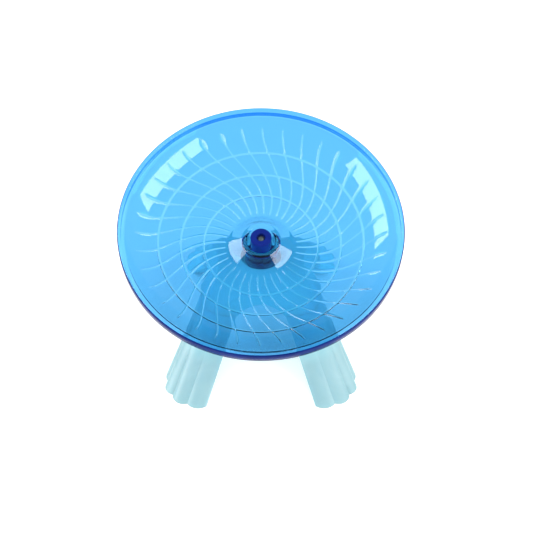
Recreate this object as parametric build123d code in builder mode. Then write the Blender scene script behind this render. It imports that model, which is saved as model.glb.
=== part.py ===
from build123d import *
from math import acos, asin, cos, pi, radians, sin, sqrt
import os

# A hamster's saucer wheel: a tilted, ribbed bowl that turns on a ball bearing
# above a four-legged stand. Millimetres, +Z up. The origin is on the floor
# under the middle of the bowl's rim, and the rim's low side faces -Y.
# Heights called "level" are measured along the tilted spindle axis from the
# upper surface of the bowl's flat floor.

# Saucer
tilt = 19.5                  # lean of the spindle axis towards -Y, degrees
saucer_radius = 90.0         # over the rim's skirt
floor_height = 58.3          # of the bowl's floor at the spindle axis
floor_radius = 36.7          # flat part of the bowl's floor
dish_arc_radius = 67.0       # the bowl's side, in section
dish_wall = 1.9
skirt_height = 7.0           # the rim's folded-down edge
skirt_wall = 1.8
rim_crown = 0.8              # rise of the rim's top over the bowl's side
rim_land = 0.9               # from the bowl's side to the skirt's inner face
rim_bevel = 1.1              # the rim's broken outer edge
skirt_root = 2.6             # from the bowl's side to where the skirt springs under it

# Ribs and rings moulded on the bowl's inside
rib_count = 36
rib_inner_radius = 22.5
rib_outer_radius = 80.0
rib_sweep = 24.0             # turn of one rib from end to end, degrees
rib_width = 1.1
rib_height = 0.8
ring_radii = (36.7, 51.3, 65.5)
ring_width = 1.3
ring_height = 0.5

# Raised hub of the bowl
hub_foot_radius = 21.0
hub_crest_radius = 12.6
hub_crest_level = 9.2
hub_crest_roll = 2.6         # the crest's curve on the bowl's side, radially
hub_crest_drop = 2.1         # and its fall
bell_depth = 4.5             # of the well's flared mouth under the crest
hub_foot_reach = 3.4         # the foot's curve, radially
hub_foot_rise = 1.9
hub_wall = 2.0
hub_crest_wall = 3.4
well_radius = 9.1            # bore of the well round the cap
retainer_clearance = 0.05
pocket_lip = 2.0             # ledge under the bearing
pocket_lip_bore = 6.5

# Ball bearing, a common 5 x 16 x 5 size
bearing_bore_radius = 2.5
bearing_radius = 8.0
bearing_width = 5.0
ball_count = 7
ball_radius = 1.389
ball_track_radius = 5.25
ball_clearance = 0.04
race_shoulder = 0.92         # height of the rings' shoulders from the ball track's middle
shield_thickness = 0.4
shield_recess = 0.6          # depth of the shield's seat in the outer ring
shield_seat_step = 0.42
shield_gap = 0.25            # to the inner ring
cage_half_height = 1.7
cage_half_width = 0.55
cage_pocket_clearance = 0.05

# Retainer ring and cap
retainer_top_level = -6.8
retainer_height = 2.7
retainer_bore = 7.2
notch_count = 6
notch_width = 2.8
notch_depth = 1.0
cap_radius = 6.75
cap_top_level = 9.2
cap_lift = 0.6               # gap between the cap's body and the bearing's shield
cap_nose_radius = 4.0
cap_bevel = 0.7
cap_eye_radius = 2.9         # recess that shows the spindle's end
cap_eye_depth = 2.2

# Spindle
spindle_radius = 2.5
spindle_head_radius = 4.5
spindle_head_height = 2.5
spindle_end_below_cap = 0.9
spindle_dome = 0.9           # rise of its rounded end
washer_thickness = 1.0
washer_radius = 4.1

# Stand
crown_base_height = 30.0     # plane where the legs meet the crown
crown_wall = 2.6
crown_half_width = 39.0
crown_front = -31.5
crown_rear = 47.0
crown_corner_radius = 19.5
crown_taper = 45.0           # lean of its lower sides, degrees
crown_height = 16.0          # of its domed top over the lower edge
crown_dome_radius = 85.0
boss_radius = 7.5
boss_neck_radius = 5.0
boss_length = 15.0
neck_height = 3.0
socket_radius = 13.5         # room in the crown's top for the hub's tube
socket_wall = 2.6
arch_half_width = 15.5
arch_rise = 5.4
side_arch_rise = 4.5
arch_start = 18.0            # where an arch's cut begins, clear of the spindle's boss
arch_cut = 40.0              # its reach from there, past the wall
peg_radius = 3.0
peg_height = 3.6
peg_clearance = 0.1
peg_boss_wall = 2.2
peg_offset = (5.6, 4.6)      # of the peg from the corner's centre, sideways and outwards

# Legs
leg_wall = 2.4
foot_radius = 21.5
front_foot_centre = (38.0, -58.5)
rear_foot_centre = (29.0, 55.0)
leg_start_angle = -11.0      # the lobed wall, from the arch side
leg_end_angle = 124.0        # to the flank
flange_length = 10.0
lobe_count = 4
lobe_bulge = 1.5
lobe_notch = 0.9
flute_height = 23.0          # where the flutes have died out
flute_trace = 0.03           # share of a flute's depth that is left there
leg_plate = 2.4
foot_mouth_width = 7.0
foot_mouth_height = 7.0
foot_mouth_edge = 1.5        # between the mouth and the flange's free edge
foot_mouth_cut = 5.0         # reach of the mouth's cut each way from the flange

# Derived places
lean = radians(tilt)
axis_direction = (0, -sin(lean), cos(lean))
dish_end_radius = saucer_radius - skirt_wall - rim_land
dish_end_level = dish_arc_radius - sqrt(dish_arc_radius**2 - (dish_end_radius - floor_radius)**2)
rim_top_level = dish_end_level + rim_crown
floor_offset = (rim_top_level - skirt_height / 2) * sin(lean)


def axis_plane(level):
    """A plane square to the spindle axis at a level, its x along +X."""
    origin = (0, floor_offset - level * sin(lean), floor_height + level * cos(lean))
    return Plane(origin=origin, x_dir=(1, 0, 0), z_dir=axis_direction)


# A plane that holds the axis: local x is the radius and local y the level.
axis_section = Plane(
    origin=(0, floor_offset, floor_height), x_dir=(1, 0, 0), z_dir=(0, -cos(lean), -sin(lean))
)
spindle_axis = Axis((0, floor_offset, floor_height), axis_direction)

bearing_top = retainer_top_level - retainer_height
bearing_bottom = bearing_top - bearing_width
bearing_middle = bearing_top - bearing_width / 2
tube_bottom = bearing_bottom - pocket_lip
tube_radius = well_radius + hub_wall
boss_top = bearing_bottom - washer_thickness
socket_floor = boss_top - neck_height
inner_race_radius = ball_track_radius - race_shoulder
outer_race_radius = ball_track_radius + race_shoulder
race_groove_radius = ball_radius + ball_clearance

os.makedirs("parts", exist_ok=True)


def save(part, label):
    """Name a finished piece and write it."""
    part.label = label
    export_step(part, f"parts/{label}.step")


def dish_level(radius):
    """Level of the bowl's inner surface at a radius."""
    reach = max(radius - floor_radius, 0)
    return dish_arc_radius - sqrt(dish_arc_radius**2 - reach**2)


def dish_point(radius, depth):
    """A point under the bowl's inner surface, by its depth square to the surface."""
    slope = asin(max(radius - floor_radius, 0) / dish_arc_radius)
    return (radius + depth * sin(slope), dish_level(radius) - depth * cos(slope))


def rib_angle(radius):
    """Turn of the S-shaped rib at a radius, slow at both ends and quick between."""
    share = (radius - rib_inner_radius) / (rib_outer_radius - rib_inner_radius)
    return radians(rib_sweep / 2 * (1 - cos(pi * share)))


# Saucer: bowl, rim, hub and bearing pocket, turned in one section
dish_mid_radius = (floor_radius + dish_end_radius) / 2
with BuildPart() as saucer:
    with BuildSketch(axis_section):
        with BuildLine():
            inside = Polyline(
                (well_radius, hub_crest_level - bell_depth),
                (well_radius, bearing_top),
                (bearing_radius, bearing_top),
                (bearing_radius, bearing_bottom),
                (pocket_lip_bore, bearing_bottom),
                (pocket_lip_bore, tube_bottom),
                (tube_radius, tube_bottom),
                (tube_radius, hub_crest_level - bell_depth - hub_wall / 3),
                (hub_crest_radius, hub_crest_level - hub_crest_wall),
                (hub_foot_radius - hub_foot_reach + hub_wall / 2, -dish_wall / 2),
                (hub_foot_radius, -dish_wall),
                (floor_radius, -dish_wall),
            )
            under_side = ThreePointArc(
                inside @ 1,
                dish_point(dish_mid_radius, dish_wall),
                dish_point(dish_end_radius - skirt_root, dish_wall),
            )
            rim = Polyline(
                under_side @ 1,
                (saucer_radius - skirt_wall, rim_top_level - skirt_height / 2),
                (saucer_radius - skirt_wall, rim_top_level - skirt_height),
                (saucer_radius, rim_top_level - skirt_height),
                (saucer_radius, rim_top_level - rim_bevel),
                (saucer_radius - rim_bevel / 3, rim_top_level - rim_bevel / 3),
                (saucer_radius - rim_bevel, rim_top_level),
                (dish_end_radius, dish_end_level),
            )
            side = ThreePointArc(
                rim @ 1,
                (dish_mid_radius, dish_level(dish_mid_radius)),
                (floor_radius, 0),
            )
            flat_floor = Line(side @ 1, (hub_foot_radius, 0))
            hub_foot = TangentArc(
                flat_floor @ 1,
                (hub_foot_radius - hub_foot_reach, hub_foot_rise),
                tangent=flat_floor % 1,
            )
            hub_cone = Line(
                hub_foot @ 1,
                (hub_crest_radius + hub_crest_roll, hub_crest_level - hub_crest_drop),
            )
            crest = ThreePointArc(
                hub_cone @ 1,
                (hub_crest_radius, hub_crest_level),
                (well_radius, hub_crest_level - bell_depth),
            )
        make_face()
    revolve(axis=spindle_axis)

# One S-shaped rib: a thin layer over the bowl's inside, cut to the rib's plan
rib_stations = [
    rib_inner_radius + (rib_outer_radius - rib_inner_radius) * share / 6 for share in range(7)
]


def rib_edge(side):
    """Points along one edge of the rib in plan."""
    points = []
    for radius in rib_stations:
        angle = rib_angle(radius) + side * rib_width / 2 / radius
        points.append((radius * cos(angle), radius * sin(angle)))
    return points


def raised_layer(inner_radius, outer_radius, height):
    """A turned layer that stands on the bowl's inside, rooted in its wall."""
    root = dish_wall / 3
    with BuildPart() as layer:
        with BuildSketch(axis_section):
            with BuildLine():
                if outer_radius <= floor_radius:
                    Polyline(
                        (inner_radius, -root), (outer_radius, -root),
                        (outer_radius, height), (inner_radius, height), close=True,
                    )
                else:
                    start = max(inner_radius, floor_radius)
                    middle = (start + outer_radius) / 2
                    low = ThreePointArc(
                        dish_point(start, root),
                        dish_point(middle, root),
                        dish_point(outer_radius, root),
                    )
                    high = ThreePointArc(
                        dish_point(outer_radius, -height),
                        dish_point(middle, -height),
                        dish_point(start, -height),
                    )
                    Line(low @ 1, high @ 0)
                    if inner_radius < floor_radius:
                        Polyline(
                            high @ 1, (inner_radius, height), (inner_radius, -root), low @ 0
                        )
                    else:
                        Line(high @ 1, low @ 0)
            make_face()
        revolve(axis=spindle_axis)
    return layer.part


with BuildPart() as rib:
    with BuildSketch(axis_plane(-dish_wall)):
        with BuildLine():
            near_edge = Spline(*rib_edge(-1))
            far_edge = Spline(*rib_edge(1))
            Line(near_edge @ 0, far_edge @ 0)
            Line(near_edge @ 1, far_edge @ 1)
        make_face()
    extrude(amount=rim_top_level + dish_wall)
    add(
        raised_layer(rib_inner_radius - 1, rib_outer_radius + 1, rib_height),
        mode=Mode.INTERSECT,
    )

with saucer:
    for radius in ring_radii:
        add(raised_layer(radius - ring_width / 2, radius + ring_width / 2, ring_height))
    add([rib.part.rotate(spindle_axis, 360 / rib_count * turn) for turn in range(rib_count)])
save(saucer.part, "saucer")


def turned(points):
    """A closed outline of radius and level, turned about the spindle axis."""
    with BuildPart() as body:
        with BuildSketch(axis_section):
            with BuildLine():
                Polyline(*points, close=True)
            make_face()
        revolve(axis=spindle_axis)
    return body


# Bearing rings, each with its ball groove
with BuildPart() as race_groove:
    with BuildSketch(axis_section):
        with Locations((ball_track_radius, bearing_middle)):
            Circle(race_groove_radius)
    revolve(axis=spindle_axis)

outer_ring = turned(
    [
        (bearing_radius, bearing_top),
        (bearing_radius, bearing_bottom),
        (outer_race_radius + shield_seat_step, bearing_bottom),
        (outer_race_radius + shield_seat_step, bearing_bottom + shield_recess),
        (outer_race_radius, bearing_bottom + shield_recess),
        (outer_race_radius, bearing_top - shield_recess),
        (outer_race_radius + shield_seat_step, bearing_top - shield_recess),
        (outer_race_radius + shield_seat_step, bearing_top),
    ]
)
with outer_ring:
    add(race_groove.part, mode=Mode.SUBTRACT)
save(outer_ring.part, "bearing_outer_ring")

inner_ring = turned(
    [
        (bearing_bore_radius, bearing_top),
        (bearing_bore_radius, bearing_bottom),
        (inner_race_radius, bearing_bottom),
        (inner_race_radius, bearing_top),
    ]
)
with inner_ring:
    add(race_groove.part, mode=Mode.SUBTRACT)
save(inner_ring.part, "bearing_inner_ring")

# Shields: two thin discs pressed into the outer ring's seats
with BuildPart() as shields:
    for level in (bearing_bottom + shield_recess - shield_thickness, bearing_top - shield_recess):
        with BuildSketch(axis_plane(level)):
            Circle(outer_race_radius + shield_seat_step)
            Circle(inner_race_radius + shield_gap, mode=Mode.SUBTRACT)
        extrude(amount=shield_thickness)
save(shields.part, "bearing_shields")

# Balls in their track, and the cage that keeps them apart
with BuildPart() as balls:
    with Locations(axis_plane(bearing_middle)):
        with PolarLocations(ball_track_radius, ball_count):
            Sphere(ball_radius)
save(balls.part, "bearing_balls")

with BuildPart() as cage:
    with BuildSketch(axis_plane(bearing_middle - cage_half_height)):
        Circle(ball_track_radius + cage_half_width)
        Circle(ball_track_radius - cage_half_width, mode=Mode.SUBTRACT)
    extrude(amount=2 * cage_half_height)
    with Locations(axis_plane(bearing_middle)):
        with PolarLocations(ball_track_radius, ball_count):
            Cylinder(
                ball_radius + cage_pocket_clearance,
                4 * cage_half_width,
                rotation=(0, 90, 0),
                mode=Mode.SUBTRACT,
            )
save(cage.part, "bearing_cage")

# Retainer: the notched ring that holds the bearing in the hub's well
with BuildPart() as retainer:
    with BuildSketch(axis_plane(bearing_top)):
        Circle(well_radius - retainer_clearance)
        Circle(retainer_bore, mode=Mode.SUBTRACT)
        with PolarLocations(well_radius, notch_count, start_angle=-90):
            Rectangle(2 * notch_depth, notch_width, mode=Mode.SUBTRACT)
    extrude(amount=retainer_height)
save(retainer.part, "bearing_retainer")

# Axle cap: the dark post, pressed on the spindle above the inner ring
cap_foot = bearing_top + cap_lift
with BuildPart() as cap:
    with BuildSketch(axis_section):
        with BuildLine():
            Polyline(
                (spindle_radius, bearing_top),
                (cap_nose_radius, bearing_top),
                (cap_nose_radius, cap_foot),
                (cap_radius, cap_foot),
                (cap_radius, cap_top_level - cap_bevel),
                (cap_radius - cap_bevel, cap_top_level),
                (cap_eye_radius, cap_top_level),
                (spindle_radius, cap_top_level - cap_eye_depth),
                close=True,
            )
        make_face()
    revolve(axis=spindle_axis)
save(cap.part, "axle_cap")

# Spindle: a headed steel pin pressed up through the crown's boss
boss_bottom = boss_top - boss_length
spindle_top = cap_top_level - spindle_end_below_cap
dome_radius = (spindle_radius**2 + spindle_dome**2) / (2 * spindle_dome)
dome_half_turn = asin(spindle_radius / dome_radius) / 2
with BuildPart() as spindle:
    with BuildSketch(axis_section):
        with BuildLine():
            shank = Polyline(
                (0, boss_bottom - spindle_head_height),
                (spindle_head_radius, boss_bottom - spindle_head_height),
                (spindle_head_radius, boss_bottom),
                (spindle_radius, boss_bottom),
                (spindle_radius, spindle_top - spindle_dome),
            )
            dome = ThreePointArc(
                shank @ 1,
                (
                    dome_radius * sin(dome_half_turn),
                    spindle_top - dome_radius * (1 - cos(dome_half_turn)),
                ),
                (0, spindle_top),
            )
            Line(dome @ 1, shank @ 0)
        make_face()
    revolve(axis=spindle_axis)
save(spindle.part, "spindle")

# Thrust washer between the boss and the bearing's inner ring
washer = turned(
    [
        (spindle_radius, boss_top),
        (washer_radius, boss_top),
        (washer_radius, bearing_bottom),
        (spindle_radius, bearing_bottom),
    ]
)
save(washer.part, "thrust_washer")


# Crown: a thin rounded-square dome with four arches in its lower edge
crown_middle = (crown_front + crown_rear) / 2


def crown_shell(inset):
    """The dome's outer form drawn in by the inset: tapered sides under a spherical top."""
    with BuildPart() as shell:
        with BuildSketch(Plane.XY.offset(crown_base_height)):
            with Locations((0, crown_middle)):
                RectangleRounded(
                    2 * (crown_half_width - inset),
                    crown_rear - crown_front - 2 * inset,
                    crown_corner_radius - inset,
                )
        extrude(amount=crown_height, taper=crown_taper)
        dome_centre = crown_base_height + crown_height - crown_dome_radius
        with Locations((0, crown_middle, dome_centre)):
            Sphere(crown_dome_radius - inset, mode=Mode.INTERSECT)
    return shell.part


with BuildPart() as crown:
    add(crown_shell(0))

with BuildPart() as crown_hollow:
    add(crown_shell(crown_wall))
    # the socket's bowl and the spindle's boss stay solid
    with BuildSketch(axis_plane(socket_floor - socket_wall)):
        Circle(socket_radius + socket_wall)
    extrude(amount=2 * crown_height, mode=Mode.SUBTRACT)
    with BuildSketch(axis_plane(boss_bottom)):
        Circle(boss_radius)
    extrude(amount=boss_length, mode=Mode.SUBTRACT)


def corner_centre(side, end):
    """Centre of the crown's rounded corner at its lower edge."""
    reach = crown_front + crown_corner_radius if end < 0 else crown_rear - crown_corner_radius
    return (side * (crown_half_width - crown_corner_radius), reach)


corners = [(side, end) for end in (-1, 1) for side in (-1, 1)]
peg_places = []
for side, end in corners:
    centre = corner_centre(side, end)
    peg_places.append((centre[0] + side * peg_offset[0], centre[1] + end * peg_offset[1]))

with crown_hollow:
    with BuildSketch(Plane.XY.offset(crown_base_height)):
        with Locations(*peg_places):
            Circle(peg_radius + peg_clearance + peg_boss_wall)
    extrude(amount=crown_height, mode=Mode.SUBTRACT)

leg_top_end = radians(leg_end_angle)
side_arch_front = corner_centre(1, -1)[1] - crown_corner_radius * cos(leg_top_end)
side_arch_rear = corner_centre(1, 1)[1] + crown_corner_radius * cos(leg_top_end)

with crown:
    add(crown_hollow.part, mode=Mode.SUBTRACT)
    # room for the hub's tube, with the boss's neck standing in it
    with BuildSketch(axis_plane(socket_floor)):
        Circle(socket_radius)
    extrude(amount=30, mode=Mode.SUBTRACT)
    with BuildSketch(axis_plane(boss_bottom)):
        Circle(boss_radius)
    extrude(amount=boss_length - neck_height)
    with BuildSketch(axis_plane(socket_floor - 1)):
        Circle(boss_neck_radius)
    extrude(amount=neck_height + 1)
    with BuildSketch(axis_plane(boss_bottom)):
        Circle(spindle_radius)
    extrude(amount=boss_length, mode=Mode.SUBTRACT)
    # front and rear arches, then the side ones
    for direction in (-1, 1):
        with BuildSketch(Plane.XZ.offset(-crown_middle - direction * arch_start)):
            with BuildLine():
                ThreePointArc(
                    (-arch_half_width, crown_base_height),
                    (0, crown_base_height + arch_rise),
                    (arch_half_width, crown_base_height),
                )
                Line((-arch_half_width, crown_base_height), (arch_half_width, crown_base_height))
            make_face()
        extrude(amount=-direction * arch_cut, mode=Mode.SUBTRACT)
        with BuildSketch(Plane.YZ.offset(direction * arch_start)):
            with BuildLine():
                ThreePointArc(
                    (side_arch_front, crown_base_height),
                    ((side_arch_front + side_arch_rear) / 2, crown_base_height + side_arch_rise),
                    (side_arch_rear, crown_base_height),
                )
                Line((side_arch_front, crown_base_height), (side_arch_rear, crown_base_height))
            make_face()
        extrude(amount=direction * arch_cut, mode=Mode.SUBTRACT)
    # blind holes for the legs' pegs
    with BuildSketch(Plane.XY.offset(crown_base_height)):
        with Locations(*peg_places):
            Circle(peg_radius + peg_clearance)
    extrude(amount=peg_height + 0.3, mode=Mode.SUBTRACT)
save(crown.part, "crown")


# Legs: leaning channels with a lobed outer wall, each with a peg on its top plate
def leg_point(centre, radius, angle, side, end):
    """A point of the leg's section, the angle from straight ahead towards the side."""
    return (
        side * (centre[0] + radius * sin(angle)),
        end * (centre[1] + radius * cos(angle)),
    )


def leg_outline(height, side, end, foot, filled=False):
    """Section of one leg at a height: lobed wall, two flanges, open towards the middle."""
    top = corner_centre(1, 1) if end > 0 else corner_centre(1, -1)
    rise = height / crown_base_height
    centre = (
        foot[0] + (top[0] - foot[0]) * rise,
        end * (foot[1] + (top[1] - foot[1]) * rise),
    )
    radius = foot_radius + (crown_corner_radius - foot_radius) * rise
    fade = max(flute_trace, 1 - height / flute_height)
    start, finish = radians(leg_start_angle), radians(leg_end_angle)
    step = (finish - start) / lobe_count

    def place(across, out):
        return (side * across, end * out)

    arch_edge = centre[0] + radius * sin(start)
    flank_edge = centre[1] + radius * cos(finish)
    arch_corner = (arch_edge, centre[1] + radius * cos(start))
    flank_corner = (centre[0] + radius * sin(finish), flank_edge)
    inner = radius - leg_wall - lobe_notch
    with BuildSketch(Plane.XY.offset(height)) as outline:
        with BuildLine():
            Line(place(arch_edge, arch_corner[1] - flange_length), place(*arch_corner))
            for lobe in range(lobe_count):
                first = radius - lobe_notch * fade * (lobe > 0)
                last = radius - lobe_notch * fade * (lobe < lobe_count - 1)
                begin = start + lobe * step
                middle_radius = radius + lobe_bulge * fade
                ThreePointArc(
                    leg_point(centre, first, begin, side, end),
                    leg_point(centre, middle_radius, begin + step / 2, side, end),
                    leg_point(centre, last, begin + step, side, end),
                )
            if filled:
                Polyline(
                    place(*flank_corner),
                    place(flank_corner[0] - flange_length, flank_edge),
                    place(arch_edge, arch_corner[1] - flange_length),
                )
            else:
                flank_inside = flank_edge + leg_wall
                arch_inside = arch_edge + leg_wall
                flank_angle = acos((flank_inside - centre[1]) / inner)
                arch_angle = asin((arch_inside - centre[0]) / inner)
                Line(place(*flank_corner), place(flank_corner[0] - flange_length, flank_edge))
                Line(
                    place(flank_corner[0] - flange_length, flank_edge),
                    place(flank_corner[0] - flange_length, flank_inside),
                )
                Line(
                    place(flank_corner[0] - flange_length, flank_inside),
                    leg_point(centre, inner, flank_angle, side, end),
                )
                ThreePointArc(
                    leg_point(centre, inner, flank_angle, side, end),
                    leg_point(centre, inner, (flank_angle + arch_angle) / 2, side, end),
                    leg_point(centre, inner, arch_angle, side, end),
                )
                Line(
                    leg_point(centre, inner, arch_angle, side, end),
                    place(arch_inside, arch_corner[1] - flange_length),
                )
                Line(
                    place(arch_inside, arch_corner[1] - flange_length),
                    place(arch_edge, arch_corner[1] - flange_length),
                )
        make_face()
    return outline.sketch


def leg(side, end, foot):
    """One leg, from its fluted foot to its peg."""
    heights = (0.0, flute_height, crown_base_height)
    plate_heights = (crown_base_height - leg_plate, crown_base_height)
    with BuildPart() as body:
        loft([leg_outline(height, side, end, foot) for height in heights], ruled=True)
    with BuildPart() as plate:
        loft(
            [leg_outline(height, side, end, foot, filled=True) for height in plate_heights],
            ruled=True,
        )
    with body:
        add(plate.part)
        with BuildSketch(Plane.XY.offset(crown_base_height)):
            with Locations(peg_places[corners.index((side, end))]):
                Circle(peg_radius)
        extrude(amount=peg_height)
        # the foot's small mouth in its flank
        flank_x = foot[0] + foot_radius * sin(radians(leg_end_angle))
        mouth_middle = flank_x - flange_length + foot_mouth_edge + foot_mouth_width / 2
        flank_y = foot[1] + end * foot_radius * cos(radians(leg_end_angle))
        with BuildSketch(Plane.XZ.offset(-flank_y)):
            with Locations((side * mouth_middle, foot_mouth_height - foot_mouth_width / 2)):
                Circle(foot_mouth_width / 2)
            with Locations((side * mouth_middle, 0)):
                Rectangle(foot_mouth_width, 2 * (foot_mouth_height - foot_mouth_width / 2))
        extrude(amount=foot_mouth_cut, both=True, mode=Mode.SUBTRACT)
    return body.part


side_names = {-1: "left", 1: "right"}
for side in (-1, 1):
    save(leg(side, -1, front_foot_centre), f"leg_front_{side_names[side]}")
    save(leg(side, 1, rear_foot_centre), f"leg_rear_{side_names[side]}")
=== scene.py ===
import bpy
import numpy as np
from mathutils import Matrix, Vector


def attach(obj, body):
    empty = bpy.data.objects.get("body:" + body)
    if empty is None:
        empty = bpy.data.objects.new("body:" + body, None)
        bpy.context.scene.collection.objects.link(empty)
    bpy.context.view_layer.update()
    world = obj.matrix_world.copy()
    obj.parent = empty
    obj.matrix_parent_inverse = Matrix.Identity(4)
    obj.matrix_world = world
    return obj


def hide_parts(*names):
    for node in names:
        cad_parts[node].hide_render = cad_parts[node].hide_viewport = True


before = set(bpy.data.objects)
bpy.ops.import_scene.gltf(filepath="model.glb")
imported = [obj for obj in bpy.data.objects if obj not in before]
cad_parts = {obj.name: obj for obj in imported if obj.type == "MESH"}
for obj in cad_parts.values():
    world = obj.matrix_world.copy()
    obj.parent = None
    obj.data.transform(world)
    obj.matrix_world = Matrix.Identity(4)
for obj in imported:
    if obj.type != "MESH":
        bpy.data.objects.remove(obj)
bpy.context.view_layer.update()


# Crown and legs. The stand is five hollow mouldings in a milky, slightly
# translucent aqua plastic: a thin domed crown, and four splayed channel legs
# whose pegs are pushed up into it. The skin is satin, with faint flow marks.
def add_moulded_skin():
    """The surface of a moulded plastic part: slow flow marks as a mask, and a fine, dense grain
    as a height, each a noise over the piece's own place."""
    skin = bpy.data.node_groups.new("moulded skin", "ShaderNodeTree")
    for socket, low, high, start in (
        ("Flow Size", 0.0, 500.0, 60.0),
        ("Grain Size", 0.0, 20000.0, 2500.0),
    ):
        entry = skin.interface.new_socket(socket, in_out="INPUT", socket_type="NodeSocketFloat")
        entry.min_value, entry.max_value, entry.default_value = low, high, start
    skin.interface.new_socket("Flow", in_out="OUTPUT", socket_type="NodeSocketFloat")
    skin.interface.new_socket("Grain", in_out="OUTPUT", socket_type="NodeSocketFloat")
    nodes, links = skin.nodes, skin.links
    given = nodes.new("NodeGroupInput")
    result = nodes.new("NodeGroupOutput")
    place = nodes.new("ShaderNodeTexCoord")
    flow = nodes.new("ShaderNodeTexNoise")
    flow.inputs["Detail"].default_value = 3.0
    flow.inputs["Distortion"].default_value = 0.8
    grain = nodes.new("ShaderNodeTexNoise")
    grain.inputs["Detail"].default_value = 1.0
    links.new(place.outputs["Object"], flow.inputs["Vector"])
    links.new(place.outputs["Object"], grain.inputs["Vector"])
    links.new(given.outputs["Flow Size"], flow.inputs["Scale"])
    links.new(given.outputs["Grain Size"], grain.inputs["Scale"])
    links.new(flow.outputs["Fac"], result.inputs["Flow"])
    links.new(grain.outputs["Fac"], result.inputs["Grain"])
    return skin


moulded_skin = add_moulded_skin()


def add_finish(name):
    """A new material: its nodes, its links and its shader."""
    finish = bpy.data.materials.new(name)
    finish.use_nodes = True
    nodes = finish.node_tree.nodes
    return finish, nodes, finish.node_tree.links, nodes["Principled BSDF"]


def add_skin(nodes, flow_size, grain_size):
    """The moulded skin placed in a material, with its two sizes."""
    skin = nodes.new("ShaderNodeGroup")
    skin.node_tree = moulded_skin
    skin.inputs["Flow Size"].default_value = flow_size
    skin.inputs["Grain Size"].default_value = grain_size
    return skin


def add_tone(nodes, links, skin, low, high):
    """A colour that goes from low to high along the flow marks."""
    tone = nodes.new("ShaderNodeValToRGB")
    for element, position, colour in zip(tone.color_ramp.elements, (0.3, 0.7), (low, high)):
        element.position, element.color = position, (*colour, 1)
    links.new(skin.outputs["Flow"], tone.inputs["Fac"])
    return tone.outputs["Color"]


def add_gloss(nodes, links, skin, low, high):
    """A roughness that goes from low to high along the flow marks."""
    gloss = nodes.new("ShaderNodeMapRange")
    gloss.inputs["To Min"].default_value = low
    gloss.inputs["To Max"].default_value = high
    links.new(skin.outputs["Flow"], gloss.inputs["Value"])
    return gloss.outputs["Result"]


def add_bump(nodes, links, height, shader, strength, distance):
    """A bump from a height to a shader, its depth in metres."""
    bump = nodes.new("ShaderNodeBump")
    bump.inputs["Strength"].default_value = strength
    bump.inputs["Distance"].default_value = distance
    links.new(height, bump.inputs["Height"])
    links.new(bump.outputs["Normal"], shader.inputs["Normal"])


milky, milky_nodes, milky_links, milky_shader = add_finish("milky aqua plastic")
milky_shader.inputs["Subsurface Weight"].default_value = 0.35
milky_shader.inputs["Subsurface Radius"].default_value = (0.5, 0.8, 1.0)
milky_shader.inputs["Subsurface Scale"].default_value = 0.004
milky_shader.inputs["IOR"].default_value = 1.49
milky_skin = add_skin(milky_nodes, 45.0, 2200.0)
milky_tone = add_tone(milky_nodes, milky_links, milky_skin, (0.25, 0.45, 0.50), (0.31, 0.51, 0.55))
milky_gloss = add_gloss(milky_nodes, milky_links, milky_skin, 0.30, 0.42)
milky_links.new(milky_gloss, milky_shader.inputs["Roughness"])
add_bump(milky_nodes, milky_links, milky_skin.outputs["Grain"], milky_shader, 0.12, 0.00005)

# painted light: the stand is painted paler towards the crown and towards the back, standing in for the
# light these parts catch
milky_place = milky_nodes.new("ShaderNodeTexCoord")
milky_along = milky_nodes.new("ShaderNodeSeparateXYZ")
milky_links.new(milky_place.outputs["Object"], milky_along.inputs["Vector"])
painted_light_share = milky_nodes.new("ShaderNodeMath")
painted_light_share.operation = "MAXIMUM"
for entry, direction, dark_end, pale_end in ((0, "Z", 0.014, 0.036), (1, "Y", 0.0, 0.03)):
    painted_light_fade = milky_nodes.new("ShaderNodeMapRange")
    painted_light_fade.inputs["From Min"].default_value = dark_end
    painted_light_fade.inputs["From Max"].default_value = pale_end
    milky_links.new(milky_along.outputs[direction], painted_light_fade.inputs["Value"])
    milky_links.new(painted_light_fade.outputs["Result"], painted_light_share.inputs[entry])
# the paler colour that the painted light mixes in, by height and by depth
milky_painted_light = milky_nodes.new("ShaderNodeMix")
milky_painted_light.data_type = "RGBA"
milky_painted_light.inputs["B"].default_value = (0.33, 0.80, 0.84, 1)
milky_links.new(painted_light_share.outputs["Value"], milky_painted_light.inputs["Factor"])
milky_links.new(milky_tone, milky_painted_light.inputs["A"])
milky_links.new(milky_painted_light.outputs["Result"], milky_shader.inputs["Base Color"])

for name in ("crown", "leg_front_left", "leg_front_right", "leg_rear_left", "leg_rear_right"):
    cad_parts[name].data.materials[0] = milky


# Spindle and bearing. A turned and ground steel pin carries a small sealed
# ball bearing of chromium steel with a pressed cage and two bright shields.
def add_metal(name, colour, roughness, grain_size):
    """A bare machined metal, its roughness and height broken up by fine turning marks."""
    metal, nodes, links, shader = add_finish(name)
    shader.inputs["Base Color"].default_value = (*colour, 1)
    shader.inputs["Metallic"].default_value = 1.0
    skin = add_skin(nodes, 300.0, grain_size)
    gloss = add_gloss(nodes, links, skin, roughness * 0.7, roughness * 1.3)
    links.new(gloss, shader.inputs["Roughness"])
    add_bump(nodes, links, skin.outputs["Grain"], shader, 0.15, 0.00002)
    return metal


race_steel = add_metal("bearing steel", (0.72, 0.74, 0.76), 0.30, 8000.0)
for name, steel in (
    # the spindle's steel is painted darker and greener than bare steel: painted shade, for its end seen
    # in shade at the top of the cap
    ("spindle", add_metal("ground steel", (0.26, 0.34, 0.35), 0.30, 5000.0)),
    ("bearing_inner_ring", race_steel),
    ("bearing_outer_ring", race_steel),
    ("bearing_balls", race_steel),
    ("bearing_shields", add_metal("bright shield steel", (0.76, 0.77, 0.78), 0.38, 6000.0)),
    ("bearing_cage", add_metal("pressed cage steel", (0.55, 0.52, 0.45), 0.35, 6000.0)),
):
    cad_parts[name].data.materials[0] = steel


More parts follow.
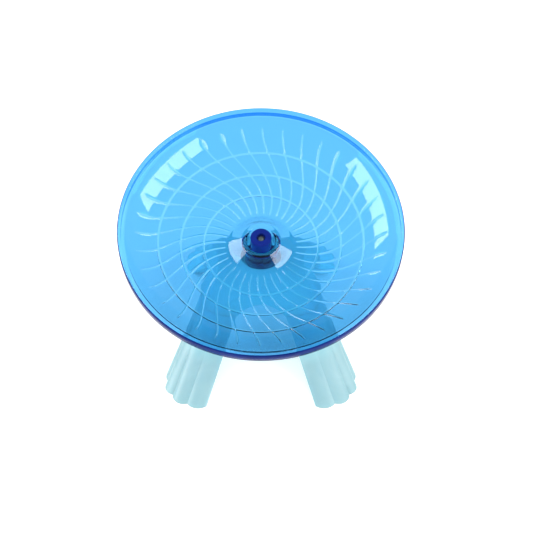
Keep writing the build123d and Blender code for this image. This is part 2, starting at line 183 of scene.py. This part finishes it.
# Retainer, cap and washer. The bearing is held by a notched, nearly black
# ring, and the spindle's end by a glossy dark-blue cap; the washer under the
# inner ring is plain nylon.
def add_solid_plastic(name, colour, second_colour, roughness, shine):
    """An opaque moulded plastic, with a slight change of tone along its flow marks."""
    plastic, nodes, links, shader = add_finish(name)
    shader.inputs["IOR"].default_value = 1.5
    shader.inputs["Specular IOR Level"].default_value = shine
    skin = add_skin(nodes, 150.0, 4000.0)
    links.new(add_tone(nodes, links, skin, colour, second_colour), shader.inputs["Base Color"])
    gloss = add_gloss(nodes, links, skin, roughness * 0.8, roughness * 1.2)
    links.new(gloss, shader.inputs["Roughness"])
    add_bump(nodes, links, skin.outputs["Grain"], shader, 0.1, 0.00003)
    return plastic


for node, name, colour, second_colour, roughness, shine in (
    ("axle_cap", "dark blue plastic", (0.003, 0.014, 0.16), (0.005, 0.019, 0.20), 0.16, 0.15),
    ("bearing_retainer", "black plastic", (0.002, 0.016, 0.075), (0.003, 0.021, 0.09), 0.3, 0.15),
    ("thrust_washer", "natural nylon", (0.66, 0.65, 0.58), (0.72, 0.71, 0.64), 0.4, 0.5),
):
    plastic = add_solid_plastic(name, colour, second_colour, roughness, shine)
    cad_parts[node].data.materials[0] = plastic


# Saucer. The running bowl is one clear, sky-blue moulding: a flat floor that
# sweeps up to a folded-down rim, 36 S-shaped grip ribs over three rings, and
# a raised hub round the well that holds the bearing.
lean = np.radians(19.5)
across = np.array([1.0, 0.0, 0.0])
uphill = np.array([0.0, np.cos(lean), np.sin(lean)])
axis = np.array([0.0, -np.sin(lean), np.cos(lean)])
floor_radius, side_arc_radius, wall = 36.7, 67.0, 1.9
saucer_radius, side_end_radius = 90.0, 87.3
skirt_depth, skirt_inside, skirt_root, edge_bevel = 7.0, 88.2, 3.2, 0.3
well_radius, seat_radius, bell_radius, bell_mouth = 9.1, 8.0, 11.1, 6.5
bell_end, seat_level, bearing_top = -16.5, -14.5, -9.5
side_end_level = side_arc_radius - np.sqrt(side_arc_radius**2 - (side_end_radius - floor_radius) ** 2)
rim_top = side_end_level + 0.8
floor_middle = np.array([0.0, (rim_top - skirt_depth / 2) * np.sin(lean), 58.3])
rib_start, rib_end, rib_sweep, rib_height = 22.5, 80.0, np.radians(24.0), 0.55
rib_count, lands_per_rib = 36, 6
ring_radii, ring_height = (36.7, 51.3, 65.5), 0.5


def arc_through(first, middle, last, count):
    """Points on the circle through three given points, from the first to the last: the centre solves
    |c - p| equal for all three, and the angle runs evenly through the middle one."""
    first, middle, last = (np.array(p, float) for p in (first, middle, last))
    chords = np.array([middle - first, last - first])
    centre = np.linalg.solve(2 * chords, (chords * (chords + 2 * first)).sum(1))
    begin, through, finish = (np.arctan2(*(p - centre)[::-1]) for p in (first, middle, last))
    turn = (finish - begin) % (2 * np.pi)
    if (through - begin) % (2 * np.pi) > turn:
        turn -= 2 * np.pi
    angles = begin + turn * np.linspace(0, 1, count)
    reach = np.linalg.norm(first - centre)
    return centre + reach * np.stack([np.cos(angles), np.sin(angles)], 1)


def side_point(radius, depth):
    """A point under the bowl's inside, its depth taken square to the surface."""
    slope = np.arcsin(np.clip(radius - floor_radius, 0, None) / side_arc_radius)
    level = side_arc_radius * (1 - np.cos(slope))
    return np.stack([radius + depth * np.sin(slope), level - depth * np.cos(slope)], -1)


ring_rows = np.array([-0.74, -0.6, -0.35, 0.35, 0.6, 0.74])
inside_radii = np.concatenate(
    [
        [21.8, 22.2, 22.6, 23.0, 23.6],
        np.linspace(24.5, 35.2, 8),
        36.7 + ring_rows,
        np.linspace(38.6, 49.4, 9),
        51.3 + ring_rows,
        np.linspace(53.2, 63.6, 9),
        65.5 + ring_rows,
        np.linspace(67.4, 76.4, 7),
        [77.5, 78.2, 78.9, 79.5, 80.0, 80.4],
        np.linspace(81.6, 87.0, 6),
    ]
)
crest = arc_through((well_radius, 4.05), (10.15, 5.81), (12.19, 5.73), 18)
foot = arc_through((20.5, 0.33), (20.99, 0.085), (21.6, 0.0), 8)
rim = arc_through((side_end_radius, side_end_level), (88.8, rim_top), (saucer_radius, rim_top - 1.1), 14)
underside_radii = np.concatenate([np.linspace(84.7, 38.0, 26), np.linspace(36.7, 22.4, 6)])
under_foot = arc_through((21.0, -1.9), (19.7, -1.5), (18.6, -0.82), 6)
under_crest = arc_through((12.8, 2.94), (11.8, 3.25), (bell_radius, 2.2), 10)
section = np.concatenate(
    [
        crest,
        foot,
        side_point(inside_radii, 0.0),
        rim,
        [
            (saucer_radius, rim_top - skirt_depth / 2),
            (saucer_radius, rim_top - skirt_depth + edge_bevel),
            (saucer_radius - edge_bevel, rim_top - skirt_depth),
            (skirt_inside + edge_bevel, rim_top - skirt_depth),
            (skirt_inside, rim_top - skirt_depth + edge_bevel),
            (skirt_inside, rim_top - skirt_root),
        ],
        side_point(underside_radii, wall),
        under_foot,
        under_crest,
        [
            (bell_radius, -5.0),
            (bell_radius, bell_end + edge_bevel),
            (bell_radius - edge_bevel, bell_end),
            (bell_mouth, bell_end),
            (bell_mouth, seat_level),
            (seat_radius, seat_level),
            (seat_radius, bearing_top),
            (well_radius, bearing_top),
            (well_radius, -6.8),
            (well_radius, -1.0),
        ],
    ]
)
radius, level = section.T
inside_rows = slice(len(crest) + len(foot), len(crest) + len(foot) + len(inside_radii))

# Across one rib and the land beside it: distances from the rib's middle line
# where it stands, then even shares of the land.
rib_columns = np.linspace(-1, 1, 7)
rib_half_width = 0.75
rib_pitch = 2 * np.pi / rib_count
edge_angle = rib_half_width / np.maximum(radius, 21.0)
on_rib = rib_columns * edge_angle[:, None]
on_land = edge_angle[:, None] + (rib_pitch - 2 * edge_angle[:, None]) * (
    np.arange(1, lands_per_rib + 1) / (lands_per_rib + 1)
)
one_pitch = np.concatenate([on_rib, on_land], 1)
run = np.clip((radius - rib_start) / (rib_end - rib_start), 0, 1)
sweep = rib_sweep / 2 * (1 - np.cos(np.pi * run))
turns = (np.arange(rib_count) + 0.55) * rib_pitch
angle = (sweep[:, None, None] + turns[None, :, None] + one_pitch[:, None, :]).reshape(len(radius), -1)

across_rib = (1 + np.cos(np.pi * rib_columns)) / 2
rib_form = np.tile(np.concatenate([across_rib, np.zeros(lands_per_rib)]), rib_count)
along_rib = np.sin(np.pi / 2 * np.interp(radius, [22.2, 23.6, 77.5, 80.0], [0, 1, 1, 0])) ** 2
off_ring = np.abs(radius[:, None] - np.array(ring_radii)).min(1)
ring_form = np.interp(off_ring, [0.35, 0.6, 0.72], [1, 0.85, 0])
lift = np.maximum(rib_height * along_rib[:, None] * rib_form, ring_height * ring_form[:, None])
on_inside = np.zeros(len(radius))
on_inside[inside_rows] = 1
lift *= on_inside[:, None]
slope = np.arcsin(np.clip(radius - floor_radius, 0, None) / side_arc_radius * on_inside)
stand_radius = radius[:, None] - lift * np.sin(slope)[:, None]
stand_level = level[:, None] + lift * np.cos(slope)[:, None]
saucer_points = (
    floor_middle
    + stand_level[..., None] * axis
    + (stand_radius * np.cos(angle))[..., None] * across
    + (stand_radius * np.sin(angle))[..., None] * uphill
) / 1000


def closed_surface(name, points):
    """A mesh from a grid of points that closes on itself both along its rows and along its columns."""
    rows, columns = points.shape[:2]
    index = np.arange(rows * columns).reshape(rows, columns)
    ahead = np.roll(index, -1, 0)
    faces = np.stack([index, ahead, np.roll(ahead, -1, 1), np.roll(index, -1, 1)], -1)
    mesh = bpy.data.meshes.new(name)
    mesh.from_pydata(points.reshape(-1, 3), [], faces.reshape(-1, 4))
    mesh.shade_smooth()
    mesh.set_sharp_from_angle(angle=np.radians(60))
    piece = bpy.data.objects.new(name, mesh)
    bpy.context.scene.collection.objects.link(piece)
    return piece


saucer = closed_surface("sky_blue_saucer", saucer_points)
rib_mark = saucer.data.attributes.new("on_rib", "FLOAT", "POINT")
rib_mark.data.foreach_set("value", np.clip(lift / 0.4, 0, 1).astype(np.float32).ravel())

clear_blue, blue_nodes, blue_links, blue_shader = add_finish("clear sky blue plastic")
blue_shader.inputs["Transmission Weight"].default_value = 1.0
blue_shader.inputs["IOR"].default_value = 1.45
blue_skin = add_skin(blue_nodes, 35.0, 3000.0)
# the ribs are painted a paler blue than the bowl: a painted highlight for the light their flanks catch;
# they are also made rougher
rib_share = blue_nodes.new("ShaderNodeAttribute")
rib_share.attribute_name = "on_rib"
rib_painted_highlight = blue_nodes.new("ShaderNodeMix")
rib_painted_highlight.data_type = "RGBA"
rib_painted_highlight.inputs["A"].default_value = (0.080, 0.372, 0.72, 1)
rib_painted_highlight.inputs["B"].default_value = (0.19, 0.54, 0.85, 1)
blue_links.new(rib_share.outputs["Fac"], rib_painted_highlight.inputs["Factor"])
blue_links.new(rib_painted_highlight.outputs["Result"], blue_shader.inputs["Base Color"])
rib_frost = blue_nodes.new("ShaderNodeMath")
rib_frost.operation = "MULTIPLY_ADD"
rib_frost.inputs[1].default_value = 0.12
blue_links.new(rib_share.outputs["Fac"], rib_frost.inputs[0])
blue_links.new(add_gloss(blue_nodes, blue_links, blue_skin, 0.02, 0.05), rib_frost.inputs[2])
blue_links.new(rib_frost.outputs["Value"], blue_shader.inputs["Roughness"])
add_bump(blue_nodes, blue_links, blue_skin.outputs["Flow"], blue_shader, 0.05, 0.0002)

# shadows, and light on its way to what lies below, pass almost untouched
let_light = blue_nodes.new("ShaderNodeBsdfTransparent")
let_light.inputs["Color"].default_value = (0.95, 0.95, 0.95, 1)
light_path = blue_nodes.new("ShaderNodeLightPath")
passing_light = blue_nodes.new("ShaderNodeMath")
passing_light.operation = "MAXIMUM"
shadow_mix = blue_nodes.new("ShaderNodeMixShader")
blue_links.new(light_path.outputs["Is Shadow Ray"], passing_light.inputs[0])
blue_links.new(light_path.outputs["Is Diffuse Ray"], passing_light.inputs[1])
blue_links.new(passing_light.outputs["Value"], shadow_mix.inputs["Fac"])
blue_links.new(blue_shader.outputs["BSDF"], shadow_mix.inputs[1])
blue_links.new(let_light.outputs["BSDF"], shadow_mix.inputs[2])
blue_links.new(shadow_mix.outputs["Shader"], blue_nodes["Material Output"].inputs["Surface"])

# the edge is looked through lengthways, so its blue is deep and hardly clear;
# from within the plastic it lets the light out
edge_blue, edge_nodes, edge_links, edge_shader = add_finish("deep blue edge")
edge_shader.inputs["IOR"].default_value = 1.45
edge_shader.inputs["Specular IOR Level"].default_value = 0.06
edge_skin = add_skin(edge_nodes, 60.0, 2500.0)
edge_tone = add_tone(edge_nodes, edge_links, edge_skin, (0.001, 0.012, 0.12), (0.003, 0.020, 0.17))
edge_links.new(edge_tone, edge_shader.inputs["Base Color"])
edge_links.new(add_gloss(edge_nodes, edge_links, edge_skin, 0.08, 0.16), edge_shader.inputs["Roughness"])
edge_side = edge_nodes.new("ShaderNodeNewGeometry")
edge_within = edge_nodes.new("ShaderNodeBsdfTransparent")
edge_within.inputs["Color"].default_value = (0.25, 0.55, 0.92, 1)
edge_mix = edge_nodes.new("ShaderNodeMixShader")
edge_links.new(edge_side.outputs["Backfacing"], edge_mix.inputs["Fac"])
edge_links.new(edge_shader.outputs["BSDF"], edge_mix.inputs[1])
edge_links.new(edge_within.outputs["BSDF"], edge_mix.inputs[2])
edge_links.new(edge_mix.outputs["Shader"], edge_nodes["Material Output"].inputs["Surface"])

# round the fold of the rim the same clear plastic is a double wall, looked
# through without the bending of a single thick one
fold_blue, fold_nodes, fold_links, fold_shader = add_finish("clear blue fold")
fold_shader.inputs["Transmission Weight"].default_value = 1.0
fold_shader.inputs["IOR"].default_value = 1.05
fold_shader.inputs["Coat Weight"].default_value = 0.4
fold_shader.inputs["Roughness"].default_value = 0.04
fold_skin = add_skin(fold_nodes, 35.0, 2500.0)
fold_tone = add_tone(fold_nodes, fold_links, fold_skin, (0.10, 0.42, 0.86), (0.13, 0.47, 0.90))
fold_links.new(fold_tone, fold_shader.inputs["Base Color"])

for blue in (clear_blue, edge_blue, fold_blue):
    saucer.data.materials.append(blue)
edge_from, edge_to, fold_from = 89.3, 89.6, 86.4
ahead_radius = np.roll(radius, -1)
is_edge = (radius > edge_from) & (ahead_radius > edge_to)
is_fold = (radius > fold_from) | (ahead_radius > fold_from)
by_row = np.where(is_edge, 1, np.where(is_fold, 2, 0))
by_face = np.broadcast_to(by_row[:, None], lift.shape).astype(np.int32)
saucer.data.polygons.foreach_set("material_index", by_face.ravel())
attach(saucer, "saucer_wheel")
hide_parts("saucer")


# Floor, light and camera. A white sweep under even studio light, with a long
# soft box on each side, seen from the front at 40 degrees above the floor.
floor_mesh = bpy.data.meshes.new("studio_floor")
floor_corners = 6.0 * np.array([(-1, -1, 0), (1, -1, 0), (1, 1, 0), (-1, 1, 0)])
floor_mesh.from_pydata(floor_corners, [], [(0, 1, 2, 3)])
studio_floor = bpy.data.objects.new("studio_floor", floor_mesh)
bpy.context.scene.collection.objects.link(studio_floor)
white_sweep, _, _, sweep_shader = add_finish("white sweep")
sweep_shader.inputs["Base Color"].default_value = (0.9, 0.9, 0.9, 1)
sweep_shader.inputs["Roughness"].default_value = 0.9
sweep_shader.inputs["Emission Color"].default_value = (1, 1, 1, 1)
sweep_shader.inputs["Emission Strength"].default_value = 0.3
floor_mesh.materials.append(white_sweep)

# mirror-like reflections see a dimmer room than the one that lights the object
studio = bpy.data.worlds.new("studio")
studio.use_nodes = True
studio_nodes, studio_links = studio.node_tree.nodes, studio.node_tree.links
studio_nodes["Background"].inputs["Color"].default_value = (1, 1, 1, 1)
studio_path = studio_nodes.new("ShaderNodeLightPath")
studio_level = studio_nodes.new("ShaderNodeMapRange")
studio_level.inputs["To Min"].default_value = 0.95
studio_level.inputs["To Max"].default_value = 0.3
studio_links.new(studio_path.outputs["Is Glossy Ray"], studio_level.inputs["Value"])
studio_links.new(studio_level.outputs["Result"], studio_nodes["Background"].inputs["Strength"])
bpy.context.scene.world = studio
bpy.context.scene.view_settings.view_transform = "Standard"

object_middle, box_distance = Vector((0, 0, 0.08)), 1.2
for side_name, azimuth, elevation in (("right", 68.0, 34.0), ("left", -92.0, 33.0)):
    box_light = bpy.data.lights.new(f"soft_box_{side_name}", "AREA")
    box_light.shape = "RECTANGLE"
    box_light.size, box_light.size_y = 1.1, 0.32
    box_light.energy = 9.0
    box = bpy.data.objects.new(f"soft_box_{side_name}", box_light)
    a, e = np.radians(azimuth), np.radians(elevation)
    away = Vector((np.sin(a) * np.cos(e), -np.cos(a) * np.cos(e), np.sin(e)))
    box.location = object_middle + box_distance * away
    box.rotation_euler = away.to_track_quat("Z", "Y").to_euler()
    bpy.context.scene.collection.objects.link(box)

focal_length, picture_width, camera_distance = 1360, 540, 0.850
camera_data = bpy.data.cameras.new("camera")
camera_data.sensor_width, camera_data.lens = 36.0, focal_length / picture_width * 36
camera_data.clip_start, camera_data.clip_end = 0.05, 20
camera = bpy.data.objects.new("camera", camera_data)
rim_middle = Vector((0, -0.00136, 0.080))
rise = np.radians(40.0)
forward = Vector((0, np.cos(rise), -np.sin(rise)))
right = Vector((1, 0, 0))
camera.location = rim_middle - camera_distance * forward
# lengths in pixels: the rim's middle lies 9 left of and 43.4 above the picture's
yaw, pitch = np.arctan(-9 / focal_length), np.arctan(43.4 / focal_length)
aim = forward * np.cos(yaw) - right * np.sin(yaw)
right = right * np.cos(yaw) + forward * np.sin(yaw)
above = right.cross(aim)
aim, above = aim * np.cos(pitch) - above * np.sin(pitch), above * np.cos(pitch) + aim * np.sin(pitch)
camera.rotation_euler = Matrix((right, above, -aim)).transposed().to_euler()
bpy.context.scene.collection.objects.link(camera)
bpy.context.scene.camera = camera
